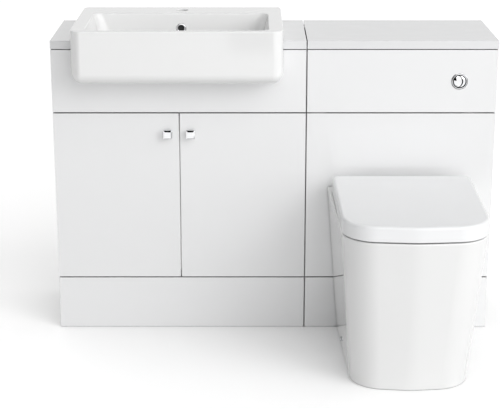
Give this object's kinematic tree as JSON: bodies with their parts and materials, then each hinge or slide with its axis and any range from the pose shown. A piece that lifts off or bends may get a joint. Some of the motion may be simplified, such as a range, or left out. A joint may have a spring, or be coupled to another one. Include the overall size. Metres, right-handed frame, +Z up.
{
  "type": "toilet and basin combination unit",
  "caption": "Bathroom unit: a cabinet with doors carries a semi-recessed basin beside a cabinet that hides the cistern behind a back-to-wall toilet.",
  "frame": {"origin": "on the floor, in the middle of the whole unit's box", "axes": "+X along the wall to the right, +Y from the room to the wall, +Z up"},
  "size_m": [1.17, 0.776, 0.841],
  "materials": {
    "front_board": "white gloss foil on board",
    "carcass_board": "white melamine-faced board",
    "ceramic": "white glaze",
    "seat_plastic": "white gloss",
    "chrome": "polished",
    "steel": "zinc plated",
    "white_plastic": "satin white",
    "rubber": "matt"
  },
  "bodies": {
    "root": {"basin_fascia": "front_board", "basin_plinth": "front_board", "basin_worktop": "front_board", "wc_fascia": "front_board", "wc_access_panel": "front_board", "wc_plinth": "front_board", "wc_worktop": "front_board", "basin_unit_left_side": "carcass_board", "basin_unit_right_side": "carcass_board", "basin_unit_base": "carcass_board", "basin_unit_wall_rail": "carcass_board", "basin_unit_front_rail": "carcass_board", "wc_unit_left_side": "carcass_board", "wc_unit_right_side": "carcass_board", "wc_unit_wall_rail": "carcass_board", "wc_unit_floor_rail": "carcass_board", "basin": "ceramic", "toilet_pan": "ceramic", "overflow_ring": "chrome", "basin_waste": "chrome", "waste_backnut": "chrome", "button_bezel": "chrome", "seat_hinge_posts": "chrome", "left_hinge_arms": "steel", "right_hinge_arms": "steel", "pan_fixings": "steel", "seat_bolts": "steel", "panel_clips": "white_plastic", "trap_body": "white_plastic", "trap_bottle": "white_plastic", "trap_outlet_pipe": "white_plastic", "cistern_tank": "white_plastic", "cistern_lid": "white_plastic", "flush_valve_body": "white_plastic", "cistern_nuts": "white_plastic", "fill_valve": "white_plastic", "flush_pipe": "white_plastic", "button_housing": "white_plastic", "pan_connector": "white_plastic", "door_buffers": "rubber", "waste_seal": "rubber", "flush_pipe_seal": "rubber", "flush_cable": "rubber"},
    "left_door": {"left_door": "front_board", "left_knob": "chrome", "left_knob_screw": "steel", "left_hinge_cups": "steel"},
    "right_door": {"right_door": "front_board", "right_knob": "chrome", "right_knob_screw": "steel", "right_hinge_cups": "steel"},
    "lid": {"toilet_lid": "seat_plastic"},
    "seat": {"toilet_seat": "seat_plastic", "seat_buffers": "rubber"},
    "full_button": {"full_flush_button": "chrome"},
    "half_button": {"half_flush_button": "chrome"},
    "valve_core": {"flush_valve_core": "white_plastic", "flush_valve_seal": "rubber"},
    "float": {"float_cup": "white_plastic"},
    "plug": {"waste_plug": "chrome"}
  },
  "joints": [
    {"name": "left_door_hinge", "type": "hinge", "parent": "root", "child": "left_door", "pos_m": [-0.5765, 0.09425, 0], "axis": [0, 0, -1], "range_deg": [0, 95]},
    {"name": "right_door_hinge", "type": "hinge", "parent": "root", "child": "right_door", "pos_m": [0.0765, 0.09425, 0], "axis": [0, 0, 1], "range_deg": [0, 95]},
    {"name": "lid_hinge", "type": "hinge", "parent": "root", "child": "lid", "pos_m": [0.335, 0.039, 0.424], "axis": [-1, 0, 0], "range_deg": [0, 92]},
    {"name": "seat_hinge", "type": "hinge", "parent": "root", "child": "seat", "pos_m": [0.335, 0.039, 0.424], "axis": [-1, 0, 0], "range_deg": [0, 86]},
    {"name": "full_button_slide", "type": "slide", "parent": "root", "child": "full_button", "axis": [0, 1, 0], "range_m": [0, 0.006], "stiffness_N_per_m": 300, "springref_m": -0.003},
    {"name": "half_button_slide", "type": "slide", "parent": "root", "child": "half_button", "axis": [0, 1, 0], "range_m": [0, 0.006], "stiffness_N_per_m": 300, "springref_m": -0.003},
    {"name": "valve_core_slide", "type": "slide", "parent": "root", "child": "valve_core", "axis": [0, 0, 1], "range_m": [0, 0.012]},
    {"name": "float_slide", "type": "slide", "parent": "root", "child": "float", "axis": [0, 0, 1], "range_m": [0, 0.028]},
    {"name": "plug_slide", "type": "slide", "parent": "root", "child": "plug", "axis": [0, 0, 1], "range_m": [0, 0.008]}
  ],
  "couplings": [
    {"joint": "seat_hinge", "follows": "lid_hinge", "ratio": 0.93},
    {"joint": "valve_core_slide", "follows": "full_button_slide", "ratio": 2}
  ]
}
